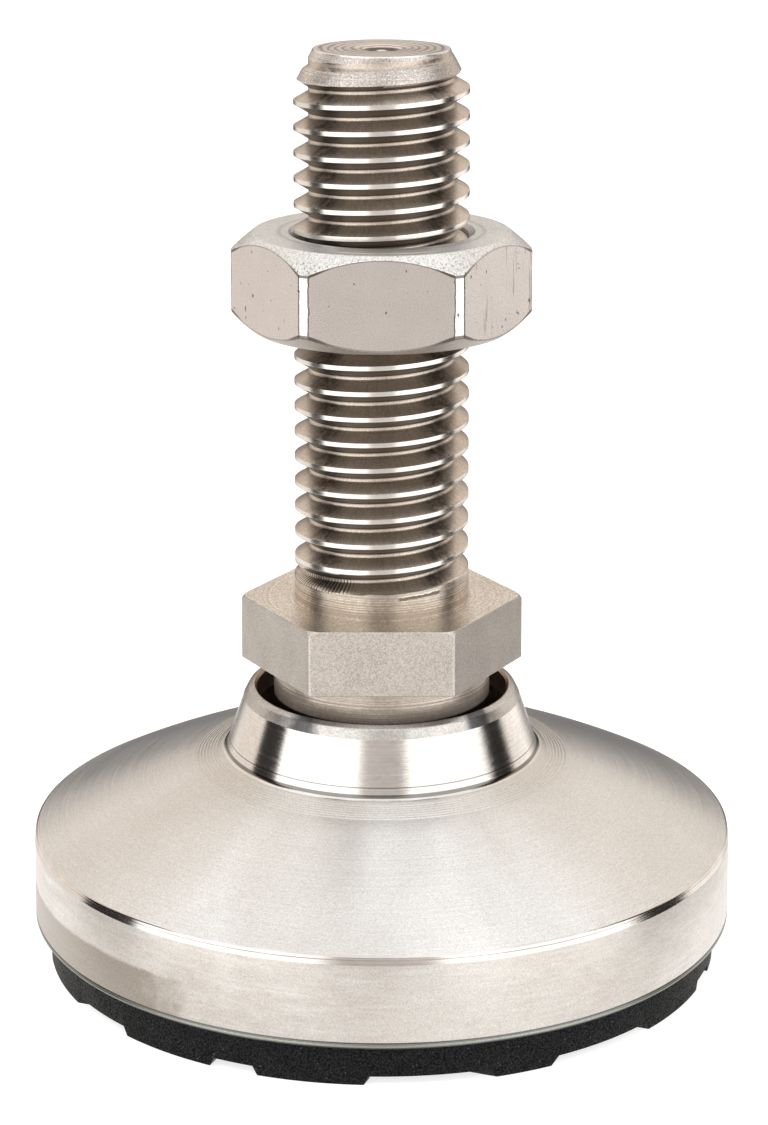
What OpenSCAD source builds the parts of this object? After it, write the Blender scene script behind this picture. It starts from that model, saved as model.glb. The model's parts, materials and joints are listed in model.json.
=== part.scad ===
// Swivel levelling foot: turned base, non-skid pad, ball-ended threaded stud, retaining ring and jam nut.
// Millimetres. +Z is up, and the origin is on the floor under the centre of the base.

/* [Base] */
// Outside diameter of the base
base_d = 63.5; // [62.5:0.5:66]
// Height of the metal's lower edge above the floor
base_z = 3.7; // [3.5:0.1:4]
// Height of the top of the straight rim band
band_top_z = 11.2; // [11:0.1:11.4]
// Slope of the domed top at the rim, in degrees above the horizontal
rim_slope = 27.2; // [26.5:0.1:27.5]
// Radius of the domed top in profile
dome_r = 95; // [93:1:100]
// Diameter of the neck where it meets the domed top
neck_foot_d = 28.5; // [28:0.1:29]
// Diameter of the neck at the crease below the lip
crease_d = 25.3; // [25:0.1:25.8]
// Height of the crease below the lip
crease_z = 23.5; // [23.2:0.1:23.8]
// Height of the top of the lip
lip_z = 24.6; // [24.5:0.1:24.8]
// Diameter of the opening that the ball passes through
opening_d = 22.8; // [22.7:0.05:22.9]

/* [Non-skid pad] */
// Outside diameter of the rubber pad
pad_d = 60.8; // [59:0.2:61]
// Depth of the grooves between the tread blocks
tread_depth = 0.8; // [0.5:0.1:1.2]
// Distance from one tread block to the next
tread_pitch = 13.4; // [11:0.1:15]
// Width of the grooves between the tread blocks
tread_groove = 3.6; // [2:0.1:4]
// Angle of the tread rows, in degrees
tread_angle = 68.4; // [0:0.1:90]
// Where a tread row starts, measured from the centre along both rows
tread_start = -0.4; // [-7:0.1:7]

/* [Swivel] */
// Diameter of the ball on the stud
ball_d = 22.4; // [22.2:0.1:22.5]
// Height of the centre of the ball
ball_z = 15; // [14.8:0.1:15.2]
// Wire diameter of the retaining ring
ring_wire_d = 1.6; // [1.4:0.1:1.6]
// Angle left open in the retaining ring, in degrees
ring_gap = 24; // [15:1:40]

/* [Stud] */
// Outside diameter of the thread, 5/8 inch less its tolerance
thread_d = 15.75; // [15.6:0.05:15.85]
// Threads per inch
threads_per_inch = 11; // [10:1:12]
// Length of the stud above its wrench hex
stud_len = 50.2; // [45:0.1:52]
// Length of the plain shank and run-out below the thread
shank_len = 3.6; // [3:0.1:5]
// Wrench hex, across its flats
hex_af = 22.2; // [21.8:0.1:22.4]
// Height of the wrench hex
hex_h = 5.9; // [5.5:0.1:6.4]
// Height of the underside of the wrench hex above the floor
hex_z = 26.9; // [26.8:0.1:27.2]
// Diameter of the neck between the ball and the wrench hex
stud_neck_d = 19.66; // [19:0.02:19.7]

/* [Jam nut] */
// Jam nut, across its flats (15/16 inch)
nut_af = 23.8; // [23.4:0.1:24]
// Thickness of the jam nut
nut_h = 8.7; // [8.5:0.1:9.8]
// Height of the underside of the jam nut above the floor
nut_z = 57.8; // [50:0.1:58]

/* [Hidden] */
$fn = 96;

skin = 0.02;              // cutters pass a face by this much
inch = 25.4;
root_3 = sqrt(3);         // across corners of a hexagon is 2 / root_3 of across flats

base_r = base_d / 2;
opening_r = opening_d / 2;
groove_in = 0.2;          // depth of the turned groove above the rim band
edge_chamfer = 0.35;
shoulder_r = 0.4;         // round between the rim and the domed top
shoulder_gap = 0.1;       // plain bead under that round
neck_fillet = 0.9;        // round between the neck and the domed top
lip_round = 0.5;          // round on the outer edge of the lip
lip_chamfer = 0.35;       // chamfer on the inner edge of the lip
pad_recess = 1.2;         // how far the pad sits up inside the base
pad_gap = 0.05;

ball_r = ball_d / 2;
seat_gap = 0.05;          // running clearance between the ball and its seat
ball_flat = 6.4;          // depth of the ball's flat end below the ball's centre
seat_floor = 8.0;         // depth of the seat's floor, which the flat's rim clears when the stud leans
ring_rise = 3.7;          // height of the retaining ring above the ball's centre
ring_wire_r = ring_wire_d / 2;
ring_play = 0.03;         // clearance between the ring and the ball
ring_groove_play = 0.05;  // clearance between the ring and its groove
// the ring's wire just clears the ball, so its centre line is one ball and one wire radius out
ring_r = sqrt(pow(ball_r + ring_wire_r + ring_play, 2) - pow(ring_rise, 2));

pitch = inch / threads_per_inch;
thread_r = thread_d / 2;
crest_w = pitch / 8;
flank_half = 30;          // half of the thread's included angle
root_w = pitch / 5;
thread_depth = (pitch - crest_w - root_w) / 2 / tan(flank_half);
root_r = thread_r - thread_depth;
hex_top_z = hex_z + hex_h;
stud_top_z = hex_top_z + stud_len;
thread_z = hex_top_z + shank_len;
end_chamfer = 1.75;       // width of the chamfer on the stud's end, along the radius
end_chamfer_h = 3.1;
crest_crown = 0.02;
// crests sit a whole number of pitches under the uppermost one, which the end chamfer cuts down
top_crest_z = stud_top_z - 2.5;
crest_count = floor((top_crest_z - thread_z - pitch / 2) / pitch) + 1;
centre_r = 1.1;           // centre-drill mark in the stud's end
centre_depth = 0.7;
hex_corner_cut = 0.15;    // how far the wrench hex's corners are turned down
hex_face_r = 12.2;        // radius of the wrench hex's round end face, which only the corners reach past
hex_chamfer = 45;         // slope of the wrench hex's chamfer, in degrees

nut_gap = 0.055;          // running clearance between the thread's crests and the nut's bore
nut_bore_r = thread_r + nut_gap;
nut_sink_r = 8.5;         // outer radius of the countersink at each end of the bore
nut_corner_cut = 0.25;
nut_face_r = nut_af / 2 - 0.35;
nut_chamfer = 38;

// Points of an arc from angle a0 to a1 about [x, z]; the outline's other points are [radius, height] too.
function arc(x, z, r, a0, a1, steps = 8) =
    [for (i = [0:steps]) let (a = a0 + (a1 - a0) * i / steps) [x + r * cos(a), z + r * sin(a)]];

shoulder_z = band_top_z + groove_in + shoulder_gap;
// the shoulder's round ends where its tangent has the slope of the domed top, whose centre lies below it
dome_centre = [
    base_r - shoulder_r * (1 - sin(rim_slope)) - dome_r * sin(rim_slope),
    shoulder_z + (shoulder_r - dome_r) * cos(rim_slope)
];
dome_foot = neck_foot_d / 2 + neck_fillet;   // radius at which the domed top runs into the neck's round
dome_end = acos((dome_foot - dome_centre[0]) / dome_r);
foot_z = dome_centre[1] + sqrt(pow(dome_r, 2) - pow(neck_foot_d / 2 - dome_centre[0], 2));
// how far the neck's side leans in from the vertical
neck_lean = atan((neck_foot_d - crease_d) / 2 / (crease_z - foot_z));

// Outer outline of the base, from its lower edge up to the lip.
function base_outline() = concat(
    [
        [0, base_z],
        [base_r - edge_chamfer, base_z],
        [base_r, base_z + edge_chamfer],
        [base_r, band_top_z],
        [base_r - groove_in, band_top_z + groove_in / 2],
        [base_r, band_top_z + groove_in]
    ],
    arc(base_r - shoulder_r, shoulder_z, shoulder_r, 0, 90 - rim_slope),
    arc(dome_centre[0], dome_centre[1], dome_r, 90 - rim_slope, dome_end, 12),
    [
        [neck_foot_d / 2 + neck_fillet * 0.3, foot_z + neck_fillet * 0.1],
        [neck_foot_d / 2 - neck_fillet * tan(neck_lean), foot_z + neck_fillet],
        [crease_d / 2, crease_z]
    ],
    arc(crease_d / 2 - 0.3 - lip_round, lip_z - lip_round, lip_round, 20, 90, 5),
    [
        [opening_r + lip_chamfer, lip_z],
        [opening_r, lip_z - lip_chamfer],
        [0, lip_z - lip_chamfer]
    ]
);

// Solid of revolution from a list of [radius, height] points.
module turned(points) {
    rotate_extrude() polygon(points);
}

// A hexagon prism with a flat to the front, its corners turned down and its ends chamfered from face_r out.
module hexagon(af, h, corner_cut, face_r, slope, bottom_chamfered) {
    corner_r = af / root_3 - corner_cut;
    drop = (corner_r - face_r) * tan(slope);
    intersection() {
        cylinder(d = af * 2 / root_3, h = h, $fn = 6);
        turned([
            [0, 0],
            [bottom_chamfered ? face_r : corner_r, 0],
            [corner_r, bottom_chamfered ? drop : skin],
            [corner_r, h - drop],
            [face_r, h],
            [0, h]
        ]);
    }
}

// Turned base with the ball socket, the ring's groove and the recess for the pad.
module base() {
    color([0.83, 0.80, 0.77])
    difference() {
        turned(base_outline());
        translate([0, 0, ball_z]) cylinder(r = opening_r, h = lip_z);
        translate([0, 0, ball_z]) intersection() {
            sphere(r = ball_r + seat_gap);
            translate([0, 0, -seat_floor]) cylinder(r = ball_d, h = seat_floor + skin);
        }
        translate([0, 0, ball_z + ring_rise])
            rotate_extrude() translate([ring_r, 0]) circle(r = ring_wire_r + ring_groove_play, $fn = 32);
        translate([0, 0, base_z - skin])
            cylinder(r = pad_d / 2 + pad_gap, h = pad_recess + skin);
    }
}

// The square blocks of the tread, as far as the rim of the pad.
module tread_blocks() {
    reach = ceil(pad_d / tread_pitch) + 1;
    block = tread_pitch - tread_groove;
    intersection() {
        cylinder(d = pad_d, h = tread_depth + skin);
        rotate(tread_angle)
            for (row = [-reach:reach], col = [-reach:reach])
                translate([
                    tread_start + row * tread_pitch + tread_groove,
                    tread_start + col * tread_pitch + tread_groove,
                    0
                ])
                    cube([block, block, tread_depth + skin]);
    }
}

// Rubber pad moulded with a block tread and set into the base.
module rubber_pad() {
    color([0.07, 0.07, 0.07])
    union() {
        translate([0, 0, tread_depth])
            cylinder(d = pad_d, h = base_z + pad_recess - tread_depth);
        tread_blocks();
    }
}

// One turn of the thread's outline, going down the stud from the groove above it. Crests above the jam nut
// are plain cylinders. Those in and under the nut have a slight crown, as the shank has a slight taper.
function thread_turn(z) =
    let (crown = z > nut_z + nut_h ? 0 : crest_crown)
    [
        [root_r, z + pitch / 2],
        [root_r, z + pitch / 2 - root_w / 2],
        [thread_r - crown, z + crest_w / 2],
        if (crown > 0) [thread_r, z],
        [thread_r - crown, z - crest_w / 2],
        [root_r, z - pitch / 2 + root_w / 2]
    ];

function stud_outline() = concat(
    [
        [0, stud_top_z - centre_depth],
        [centre_r, stud_top_z],
        [root_r, stud_top_z]
    ],
    [for (i = [0:crest_count - 1]) each thread_turn(top_crest_z - i * pitch)],
    [
        [root_r, thread_z + (thread_r - root_r) * tan(flank_half)],
        [thread_r - crest_crown, thread_z],
        [thread_r, hex_top_z],
        [0, hex_top_z]
    ]
);

// Cone that cuts the thread down at the stud's end, with room round the thread below it.
module end_cone() {
    turned([
        [0, hex_top_z - skin],
        [thread_r + end_chamfer, hex_top_z - skin],
        [thread_r + end_chamfer, stud_top_z - 2 * end_chamfer_h],
        [thread_r - end_chamfer, stud_top_z],
        [0, stud_top_z]
    ]);
}

// Stud machined from one bar: thread, plain shank, wrench hex, neck and ball.
module threaded_stud() {
    color([0.72, 0.69, 0.66])
    union() {
        intersection() {
            turned(stud_outline());
            end_cone();
        }
        translate([0, 0, hex_z]) hexagon(hex_af, hex_h, hex_corner_cut, hex_face_r, hex_chamfer, false);
        translate([0, 0, ball_z]) cylinder(d = stud_neck_d, h = hex_z + skin - ball_z);
        translate([0, 0, ball_z]) intersection() {
            sphere(r = ball_r);
            translate([0, 0, -ball_flat]) cylinder(r = ball_d, h = ball_d);
        }
    }
}

// Round-wire snap ring that keeps the ball in its socket.
module retaining_ring() {
    color([0.60, 0.60, 0.62])
    translate([0, 0, ball_z + ring_rise])
        rotate(ring_gap / 2)
            rotate_extrude(angle = 360 - ring_gap) translate([ring_r, 0]) circle(r = ring_wire_r, $fn = 32);
}

// Jam nut, chamfered on both faces and countersunk at both ends of its bore.
module jam_nut() {
    sink_h = nut_sink_r - nut_bore_r;
    color([0.78, 0.75, 0.73])
    translate([0, 0, nut_z]) difference() {
        hexagon(nut_af, nut_h, nut_corner_cut, nut_face_r, nut_chamfer, true);
        turned([
            [0, -skin],
            [nut_sink_r + skin, -skin],
            [nut_bore_r, sink_h],
            [nut_bore_r, nut_h - sink_h],
            [nut_sink_r + skin, nut_h + skin],
            [0, nut_h + skin]
        ]);
    }
}

base();
rubber_pad();
threaded_stud();
retaining_ring();
jam_nut();
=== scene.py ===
import json
import math

import bmesh
import bpy
import numpy as np
from mathutils import Matrix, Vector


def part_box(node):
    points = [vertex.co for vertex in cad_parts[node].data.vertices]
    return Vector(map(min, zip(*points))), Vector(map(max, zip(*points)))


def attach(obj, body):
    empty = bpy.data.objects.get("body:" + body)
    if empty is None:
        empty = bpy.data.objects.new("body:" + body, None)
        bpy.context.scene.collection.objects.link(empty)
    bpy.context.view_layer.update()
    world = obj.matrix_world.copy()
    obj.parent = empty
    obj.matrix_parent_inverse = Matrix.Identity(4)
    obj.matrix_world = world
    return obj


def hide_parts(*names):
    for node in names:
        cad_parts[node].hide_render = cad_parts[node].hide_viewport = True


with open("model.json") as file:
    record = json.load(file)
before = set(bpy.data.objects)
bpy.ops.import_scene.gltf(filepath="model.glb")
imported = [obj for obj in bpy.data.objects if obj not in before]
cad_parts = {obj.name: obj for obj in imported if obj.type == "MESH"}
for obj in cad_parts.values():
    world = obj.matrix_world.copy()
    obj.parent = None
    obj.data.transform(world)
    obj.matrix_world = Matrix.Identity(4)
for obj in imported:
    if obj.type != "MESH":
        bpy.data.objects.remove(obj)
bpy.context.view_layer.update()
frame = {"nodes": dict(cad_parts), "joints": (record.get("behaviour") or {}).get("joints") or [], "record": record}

MM = 0.001
HOLD = 0.06     # distance in millimetres of the row that holds a face flat beside a round
FAR_RAY = 0.012     # reflections from farther away than this, in metres, leave the stud and the nut out

# --------------------------------------------------------------------------------------------------
# Sizes in millimetres. Those that the frame holds come from it.
# --------------------------------------------------------------------------------------------------


def extent(node):
    """Lowest and highest corner of a CAD node in millimetres."""
    low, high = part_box(node)
    return low / MM, high / MM


mounts = {mount["name"]: mount for mount in frame["record"]["mounts"]}
joints = {joint["name"]: joint for joint in frame["joints"]}

BASE_LOW, BASE_HIGH = extent("base")
PAD_LOW, PAD_HIGH = extent("rubber_pad")
STUD_HIGH = extent("threaded_stud")[1]
NUT_LOW, NUT_HIGH = extent("jam_nut")
BALL_Z = joints["stud_lean"]["pos_m"][2] / MM

BASE_R = BASE_HIGH.x
PAD_R = PAD_HIGH.x
THREAD_R = mounts["stud_thread"]["dims"]["r_mm"]
PITCH = 25.4 / 11
TOP_Z = STUD_HIGH.z

# base
EDGE_CHAMFER = 0.3     # of the lower edge
EDGE_LINES = ((0.45, 0.05), (0.66, 0.03))     # height above the lower edge and depth of two turned lines
PAD_GAP = 0.05
BAND_TOP = 11.2
SHOULDER_Z, SHOULDER_R, SHOULDER_IN = 11.55, 0.32, 0.07
RIM_SLOPE = math.radians(27.2)
DOME_R = 95.0
NECK_FOOT_R = 14.25
CONE_FOOT_Z = 18.94
CREASE_R, CREASE_Z = 12.60, 23.5
RING_DEPTH = 0.035
NECK_RINGS = (2.62, 2.30, 2.02, 1.72, 1.42, 1.12, 0.86)     # how far outside the neck's foot each lies
OPENING_R = 11.4
LIP_EDGE = 0.22
LIP_DROP = 0.35
SEAT_R = 11.25
SEAT_FLOOR = BALL_Z - 8.0
RING_GROOVE_Z = BALL_Z + 3.7
RING_GROOVE_R = 12.2
RING_GROOVE_HALF = 0.8

# tread of the pad
TREAD_DEPTH = 0.8
TREAD_PITCH = 13.4
TREAD_GROOVE = 3.6
TREAD_ANGLE = math.radians(68.4)
TREAD_START = -0.4
TREAD_DRAFT = 1.5     # how many times wider a groove's cutter is, one depth below the floor, than at its top

# stud
BALL_R = 11.2
BALL_FLAT = BALL_Z - 6.4
STUD_NECK_R = 9.83
HEX_Z, HEX_H = 26.9, 5.9
HEX_APOTHEM = 11.1
HEX_CORNER_R = 12.76
HEX_FACE_R = 12.42
SHANK_R = THREAD_R + 0.03
CREST = 0.40
THREAD_DEPTH = 1.35
ROOT_R = THREAD_R - THREAD_DEPTH
FLANK = math.radians(30)
THREAD_PHASE = TOP_Z - 47.49     # a crest passes this height, plus whole pitches, on the +X side
RUNOUT_LOW, RUNOUT_HIGH = TOP_Z - 48.0, TOP_Z - 46.85   # the last groove fades out between these heights
THREAD_LOW = TOP_Z - 48.9
SCORE_DEPTH = 0.16     # depth of the first groove where it is scored into the end chamfer
CHATTER_LOW, CHATTER_HIGH = HEX_Z + 8.7, HEX_Z + 10.0
SCRATCH_LOW, SCRATCH_HIGH = HEX_Z + 7.70, HEX_Z + 7.97
GLEAM_LOW, GLEAM_HIGH = HEX_Z + 8.0, HEX_Z + 8.08
END_R = THREAD_R - 1.75
END_CHAMFER = 3.3
END_SLOPE = (THREAD_R - END_R) / END_CHAMFER

# nut
NUT_APOTHEM = NUT_HIGH.y
NUT_FACE_R = NUT_APOTHEM - 0.35
NUT_UPPER, NUT_LOWER = math.tan(math.radians(40)), math.tan(math.radians(36))     # its chamfers
NUT_CORNER_R = 13.5
SINK_R = 8.4
SINK_SLOPE = math.tan(math.radians(40))

# tones of the marks, of a painted reflection and of a painted highlight, as linear colours
BLACK = (0.06, 0.06, 0.055)
BROWN = (0.20, 0.15, 0.11)
PALE = (0.92, 0.90, 0.87)


# --------------------------------------------------------------------------------------------------
# Mesh tools
# --------------------------------------------------------------------------------------------------


def smooth_max(a, b, reach):
    """The larger of a and b, rounded over the given reach where they cross."""
    return 0.5 * (a + b + np.sqrt((a - b) ** 2 + reach**2))


def smooth_min(a, b, reach):
    return -smooth_max(-a, -b, reach)


def smooth_step(low, high, value):
    t = np.clip((value - low) / (high - low), 0, 1)
    return t * t * (3 - 2 * t)


def even_columns(count):
    """Angles of evenly spaced columns round the axis."""
    return np.arange(count) * math.tau / count


def hex_columns(apothem, corner_r, per_flat=22):
    """Angles of columns for a hexagon with corners on the X axis, close together where its flats end."""
    strip = math.pi / 6 - math.acos(apothem / corner_r)
    near = math.radians(0.45)
    corner = strip * np.array([-1, 0, 1])
    corner = np.concatenate([corner, strip + near * np.array([-1, 1]), -strip - near * np.array([-1, 1])])
    flat = np.linspace(strip + 3 * near, math.pi / 3 - strip - 3 * near, per_flat)
    sector = np.sort(np.concatenate([corner % (math.pi / 3), flat]))
    return np.sort(np.concatenate([sector + k * math.pi / 3 for k in range(6)]))


def hex_radius(columns, apothem, corner_r):
    """Radius of a hexagon with turned-down corners, at each column."""
    from_flat = (columns % (math.pi / 3)) - math.pi / 6
    return smooth_min(apothem / np.cos(from_flat), corner_r, 0.02)


def arc_rows(before, corner, after, rounding):
    """Rows of a round of the given radius in place of a corner, with a row beside each end of it that keeps
    the long faces flat."""
    back, ahead = before - corner, after - corner
    back_length, ahead_length = np.hypot(*back), np.hypot(*ahead)
    back, ahead = back / back_length, ahead / ahead_length
    half = np.arccos(np.clip((back * ahead).sum(0), -1, 1)) / 2
    reach = np.minimum(rounding / np.tan(half), 0.40 * np.minimum(back_length, ahead_length))
    weight = np.sin(half)
    steps = 3 if rounding < 0.2 else 5 if rounding < 1 else 12
    yield corner + back * (reach + np.minimum(HOLD, 0.05 * back_length))
    for s in np.linspace(0, 1, steps):
        start, middle, end = (1 - s) ** 2, 2 * s * (1 - s) * weight, s**2
        total = start + middle + end
        yield (start * (corner + back * reach) + middle * corner + end * (corner + ahead * reach)) / total
    yield corner + ahead * (reach + np.minimum(HOLD, 0.05 * ahead_length))


class Solid:
    """Rows of points round the Z axis, joined by faces, in millimetres."""

    def __init__(self, columns):
        self.columns = columns
        self.points = []
        self.faces = []
        self.slots = []
        self.count = 0

    def grid(self, radius, height, slots, climb=0):
        """Joins rows of radius and height with faces, whose material slots are given by row or one by one.
        The last column meets the first one climb rows higher."""
        rows, columns = radius.shape
        across = np.broadcast_to(self.columns, radius.shape)
        points = np.stack([radius * np.cos(across), radius * np.sin(across), height], axis=-1)
        index = self.count + np.arange(rows * columns).reshape(rows, columns)
        ahead = np.roll(index, -1, axis=1)
        if climb:
            ahead[:, -1] = np.concatenate([index[climb:, 0], np.repeat(index[-1:, 0], climb)])
        quads = np.stack([index[:-1], ahead[:-1], ahead[1:], index[1:]], axis=-1)
        self.points.append(points.reshape(-1, 3))
        self.faces.append(quads.reshape(-1, 4))
        self.slots.append(np.broadcast_to(np.reshape(slots, (rows - 1, -1)), (rows - 1, columns)).ravel())
        self.count += rows * columns

    def path(self, *corners):
        """Rows along corners of (radius, height, rounding, slot of the faces after it)."""
        ends = [np.stack(np.broadcast_arrays(c[0], c[1], self.columns)[:2]).astype(float) for c in corners]
        rows, slots = [ends[0]], []
        for i in range(1, len(corners) - 1):
            rounding, slot = corners[i][2], corners[i][3]
            slots.append(corners[i - 1][3])
            if rounding:
                arc = list(arc_rows(ends[i - 1], ends[i], ends[i + 1], rounding))
                rows.extend(arc)
                slots.extend([corners[i - 1][3]] + [slot] * (len(arc) - 2))
            else:
                rows.append(ends[i])
        rows.append(ends[-1])
        slots.append(corners[-2][3])
        rows = np.array(rows)
        self.grid(rows[:, 0], rows[:, 1], slots)

    def build(self, name, materials, sharp=32):
        """The finished object in metres, with coinciding points merged and edges sharper than sharp kept."""
        mesh = bpy.data.meshes.new(name)
        points = np.concatenate(self.points) * MM
        mesh.from_pydata(points.tolist(), [], np.concatenate(self.faces).tolist())
        mesh.polygons.foreach_set("material_index", np.concatenate(self.slots).astype(np.int32))
        for material in materials:
            mesh.materials.append(material)
        work = bmesh.new()
        work.from_mesh(mesh)
        bmesh.ops.remove_doubles(work, verts=work.verts, dist=0.002 * MM)
        bmesh.ops.dissolve_degenerate(work, dist=0.0005 * MM, edges=work.edges)
        bmesh.ops.recalc_face_normals(work, faces=work.faces)
        loose = [v for v in work.verts if not v.link_faces]
        bmesh.ops.delete(work, geom=loose, context="VERTS")
        work.to_mesh(mesh)
        work.free()
        return finish_mesh(name, mesh, sharp)


def finish_mesh(name, mesh, sharp):
    mesh.shade_smooth()
    mesh.set_sharp_from_angle(angle=math.radians(sharp))
    piece = bpy.data.objects.new(name, mesh)
    bpy.context.scene.collection.objects.link(piece)
    return piece


# --------------------------------------------------------------------------------------------------
# Node tools
# --------------------------------------------------------------------------------------------------


def add(tree, kind, inputs=None, **settings):
    """Adds a shader node. Inputs are values or sockets, by name or by number."""
    node = tree.nodes.new("ShaderNode" + kind)
    for key, value in settings.items():
        setattr(node, key, value)
    for key, value in (inputs or {}).items():
        if isinstance(value, bpy.types.NodeSocket):
            tree.links.new(value, node.inputs[key])
        else:
            node.inputs[key].default_value = value
    return node


class Graph:
    """Short names for the nodes of one shader tree."""

    def __init__(self, tree):
        self.tree = tree
        tree.nodes.clear()

    def calc(self, operation, a, b=0.0, c=0.0):
        return add(self.tree, "Math", {0: a, 1: b, 2: c}, operation=operation).outputs[0]

    def scale(self, value, factor):
        return self.calc("MULTIPLY", value, factor)

    def ramp(self, value, low, high, start=0.0, end=1.0):
        """start where value is low, end where it is high, smooth between."""
        inputs = {"Value": value, "From Min": low, "From Max": high, "To Min": start, "To Max": end}
        return add(self.tree, "MapRange", inputs, interpolation_type="SMOOTHSTEP").outputs[0]

    def between(self, value, low, high, soft):
        """1 where value is between low and high, fading to 0 over soft at each end."""
        rise = self.ramp(value, low - soft, low + soft)
        fall = self.ramp(value, high - soft, high + soft, 1.0, 0.0)
        return self.scale(rise, fall)

    def mix(self, factor, low, high):
        """Mixes two colours."""
        node = add(self.tree, "Mix", {"Factor": factor}, data_type="RGBA")
        for socket, colour in ((node.inputs[6], low), (node.inputs[7], high)):
            if isinstance(colour, bpy.types.NodeSocket):
                self.tree.links.new(colour, socket)
            else:
                socket.default_value = (*colour, 1.0)
        return node.outputs[2]

    def paint(self, colour, tone, mask, strength=1.0):
        """Covers a colour with a tone where mask is 1, as far as strength."""
        return self.mix(self.scale(mask, strength), colour, tone)

    def noise(self, where, scale, detail=3.0, rough=0.5, dims="3D"):
        inputs = {"Scale": scale, "Detail": detail, "Roughness": rough}
        inputs["W" if dims == "1D" else "Vector"] = where
        return add(self.tree, "TexNoise", inputs, noise_dimensions=dims).outputs[0]

    def combine(self, x, y, z):
        return add(self.tree, "CombineXYZ", {0: x, 1: y, 2: z}).outputs[0]

    def around(self, place, spread, z):
        """Place for a noise that runs round the axis: spread is how far it goes in one radian."""
        return self.combine(self.scale(place.east, spread), self.scale(place.north, spread), z)

    def bump(self, height, distance, normal=None):
        """distance is in millimetres."""
        inputs = {"Height": height, "Distance": distance * MM, "Strength": 1.0}
        if normal:
            inputs["Normal"] = normal
        return add(self.tree, "Bump", inputs).outputs[0]


class Place:
    """Where a shaded point is on the object, in millimetres and radians."""

    def __init__(self, graph):
        where = add(graph.tree, "TexCoord").outputs["Object"]
        self.vector = add(graph.tree, "VectorMath", {0: where, 3: 1 / MM}, operation="SCALE").outputs[0]
        split = add(graph.tree, "SeparateXYZ", {0: self.vector}).outputs
        self.x, self.y, self.z = split
        square = graph.calc("MULTIPLY_ADD", self.x, self.x, graph.scale(self.y, self.y))
        self.radius = graph.calc("SQRT", square)
        # the direction from the axis, for patterns that close on themselves round it
        self.east = graph.calc("DIVIDE", self.x, self.radius)
        self.north = graph.calc("DIVIDE", self.y, self.radius)
        # degrees from the front, growing towards +X
        front = graph.calc("ARCTAN2", self.x, graph.scale(self.y, -1.0))
        self.azimuth = graph.scale(front, 180 / math.pi)


def material(name):
    made = bpy.data.materials.new(name)
    made.use_nodes = True
    return made, Graph(made.node_tree)


def surface(graph, inputs, mirrored=True):
    """Ends a material with a Principled shader. One that isn't mirrored shows only in near reflections."""
    shader = add(graph.tree, "BsdfPrincipled", inputs).outputs[0]
    if not mirrored:
        path = add(graph.tree, "LightPath").outputs
        far = graph.calc("GREATER_THAN", path["Ray Length"], FAR_RAY)
        clear = add(graph.tree, "BsdfTransparent").outputs[0]
        factor = graph.calc("MULTIPLY", far, path["Is Glossy Ray"])
        shader = add(graph.tree, "MixShader", {0: factor, 1: shader, 2: clear}).outputs[0]
    add(graph.tree, "OutputMaterial", {0: shader})


def specks(g, place, colour, amount):
    """Lightens and darkens a colour in specks of about a tenth of a millimetre."""
    speck = g.noise(place.vector, 7.0, 1.0, 0.6)
    value = g.calc("MULTIPLY_ADD", speck, amount, 1 - amount / 2)
    return add(g.tree, "HueSaturation", {"Color": colour, "Value": value}).outputs[0]


def stripes(g, place, travel, marks):
    """Fine and broad turning marks, and blotches that are drawn out round the axis."""
    feed = g.noise(travel, 1 / marks, 2.0, 0.6, "1D")
    broad = g.noise(travel, 0.35 / marks, 2.0, 0.5, "1D")
    streak = g.noise(g.around(place, 6.9, travel), 2.5, 5.0, 0.7)
    return feed, broad, streak


def turned_steel(name, along, tint, dark, rough, marks, mark_depth, anisotropy=0.3, rings=0.0, marks_and_painted_light=None,
                 metal=1.0, mirrored=True, grit=0.0):
    """Steel turned on a lathe. Its marks run round the axis, and along is the way in which they follow each
    other: "radius" or "z". rings is how much they show as colour, the colouring function that may follow
    paints marks, painted shade and painted highlights at given places, grit is how much fine specks show, and
    metal is less than 1 where the marks scatter some light evenly."""
    made, g = material(name)
    place = Place(g)
    feed, broad, streak = stripes(g, place, place.radius if along == "radius" else place.z, marks)
    wobble = g.noise(place.vector, 0.09, 3.0, 0.6)
    shade = g.ramp(g.calc("ADD", g.scale(streak, 0.35), g.scale(wobble, 0.65)), 0.35, 0.65)
    lines = g.scale(g.ramp(feed, 0.62, 0.38), rings)
    colour = g.mix(g.calc("SUBTRACT", shade, lines), dark, tint)
    if marks_and_painted_light:
        colour = marks_and_painted_light(g, place, colour)
    colour = specks(g, place, colour, grit)
    roughness = g.calc("MULTIPLY_ADD", broad, 0.10, rough - 0.05)
    roughness = g.calc("MULTIPLY_ADD", wobble, 0.08, g.calc("SUBTRACT", roughness, 0.04))
    inputs = {
        "Base Color": colour,
        "Metallic": metal,
        "Roughness": roughness,
        "Anisotropic": anisotropy,
        "Anisotropic Rotation": 0.25,
        "Tangent": add(g.tree, "Tangent", direction_type="RADIAL", axis="Z").outputs[0],
        "Normal": g.bump(g.calc("ADD", feed, broad), mark_depth),
    }
    surface(g, inputs, mirrored)
    return made


def milled_steel(name, tint, dark, rough, grain, grain_depth, marks_and_painted_light=None, metal=1.0):
    """Steel with a fine even grain, for the hexagons' flats."""
    made, g = material(name)
    place = Place(g)
    speck = g.noise(place.vector, 1 / grain, 2.0, 0.9)
    patch = g.noise(place.vector, 0.35, 3.0, 0.6)
    shade = g.ramp(g.calc("ADD", g.scale(speck, 0.85), g.scale(patch, 0.15)), 0.35, 0.60)
    colour = g.mix(shade, dark, tint)
    # the colouring function adds marks, painted shade and painted highlights
    if marks_and_painted_light:
        colour = marks_and_painted_light(g, place, colour)
    roughness = g.calc("MULTIPLY_ADD", speck, 0.16, rough - 0.08)
    inputs = {
        "Base Color": colour,
        "Metallic": metal,
        "Roughness": roughness,
        "Normal": g.bump(speck, grain_depth),
    }
    surface(g, inputs, mirrored=False)
    return made


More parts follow.
